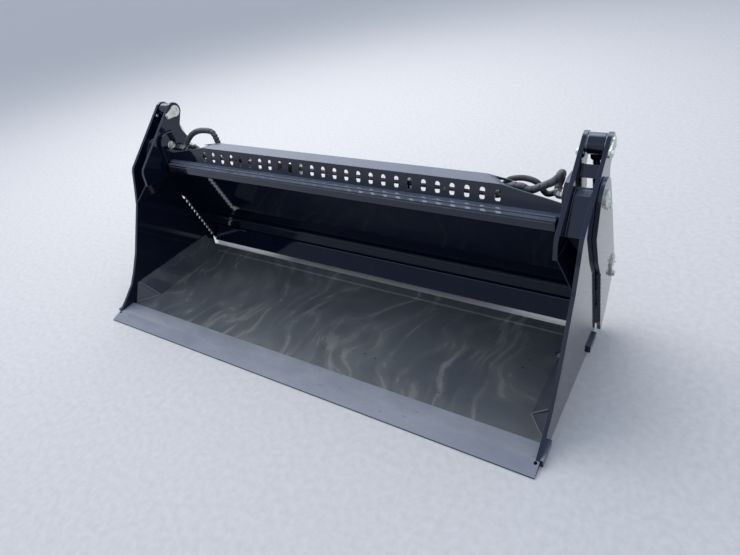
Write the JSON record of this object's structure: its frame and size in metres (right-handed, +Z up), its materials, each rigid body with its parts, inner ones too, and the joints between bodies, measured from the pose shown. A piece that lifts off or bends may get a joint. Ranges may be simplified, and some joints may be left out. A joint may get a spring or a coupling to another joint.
{
  "type": "four-in-one bucket",
  "caption": "Skid steer clamshell bucket: moldboard with quick-attach plate, and a clam with floor and toothed ends opened by a hydraulic cylinder at each end.",
  "frame": {"origin": "on the underside of the clam's floor, straight below the clam hinge and midway along the bucket", "axes": "+X along the cutting edge, from left to right as seen from in front; +Y to the rear, towards the machine; +Z up"},
  "size_m": [1.8808, 0.841, 0.74],
  "materials": {
    "black_paint": "satin black",
    "worn_floor": "dusty worn black",
    "edge_steel": "semi-gloss black",
    "zinc": "zinc plated",
    "steel": "machined",
    "chrome": "polished",
    "rubber": "matte"
  },
  "bodies": {
    "moldboard_frame": {"moldboard": "black_paint", "dozer_edge": "black_paint", "lip_bar": "black_paint", "top_guard": "black_paint", "ear_plate_l": "black_paint", "ear_plate_r": "black_paint", "end_plate_l": "black_paint", "end_plate_r": "black_paint", "hinge_pin_l": "zinc", "hinge_pin_r": "zinc", "thrust_washers": "steel", "base_pin_l": "zinc", "base_pin_r": "zinc", "base_spacers": "steel", "mount_plate": "black_paint", "mount_ribs": "black_paint", "port_block": "zinc", "block_bracket": "black_paint", "steel_lines": "steel", "line_clamps": "black_paint", "ear_fittings": "zinc", "hose_l": "rubber", "hose_r": "rubber", "wrapped_hose_l": "rubber", "wrapped_hose_r": "rubber", "keeper_bolts": "zinc", "grease_nipples": "zinc"},
    "clam": {"clam_floor": "worn_floor", "cutting_edge": "edge_steel", "heel_bar": "worn_floor", "side_plate_l": "black_paint", "side_plate_r": "black_paint", "arm_plate_l": "black_paint", "arm_plate_r": "black_paint", "arm_cover_l": "black_paint", "arm_cover_r": "black_paint", "arm_web_l": "black_paint", "arm_web_r": "black_paint", "arm_spacer_l": "black_paint", "arm_spacer_r": "black_paint", "hinge_tube_l": "black_paint", "hinge_tube_r": "black_paint", "corner_plate_l": "worn_floor", "corner_plate_r": "worn_floor", "corner_cap_l": "worn_floor", "corner_cap_r": "worn_floor", "wear_lugs": "black_paint", "top_pin_l": "zinc", "top_pin_r": "zinc", "top_keeper_bolts": "zinc", "spacer_rings": "steel"},
    "barrel_left": {"barrel_l": "black_paint", "gland_l": "black_paint"},
    "barrel_right": {"barrel_r": "black_paint", "gland_r": "black_paint"},
    "rod_left": {"rod_l": "chrome", "rod_eye_l": "black_paint"},
    "rod_right": {"rod_r": "chrome", "rod_eye_r": "black_paint"}
  },
  "joints": [
    {"name": "clam_hinge", "type": "hinge", "parent": "moldboard_frame", "child": "clam", "pos_m": [0, 0, 0.59], "axis": [-1, 0, 0], "range_deg": [-1.2, 52]},
    {"name": "barrel_swing_left", "type": "hinge", "parent": "moldboard_frame", "child": "barrel_left", "pos_m": [-0.8764, 0.208, 0.252], "axis": [-1, 0, 0], "range_deg": [-0.3, 7]},
    {"name": "barrel_swing_right", "type": "hinge", "parent": "moldboard_frame", "child": "barrel_right", "pos_m": [0.8764, 0.208, 0.252], "axis": [-1, 0, 0], "range_deg": [-0.3, 7]},
    {"name": "rod_swing_left", "type": "hinge", "parent": "clam", "child": "rod_left", "pos_m": [-0.8764, 0.084, 0.706], "axis": [-1, 0, 0], "range_deg": [-47, 1.5]},
    {"name": "rod_swing_right", "type": "hinge", "parent": "clam", "child": "rod_right", "pos_m": [0.8764, 0.084, 0.706], "axis": [-1, 0, 0], "range_deg": [-47, 1.5]}
  ],
  "couplings": [
    {"joint": "barrel_swing_left", "follows": "clam_hinge", "ratio": 0.11137},
    {"joint": "barrel_swing_right", "follows": "clam_hinge", "ratio": 0.11137},
    {"joint": "rod_swing_left", "follows": "clam_hinge", "ratio": -0.88863},
    {"joint": "rod_swing_right", "follows": "clam_hinge", "ratio": -0.88863}
  ]
}
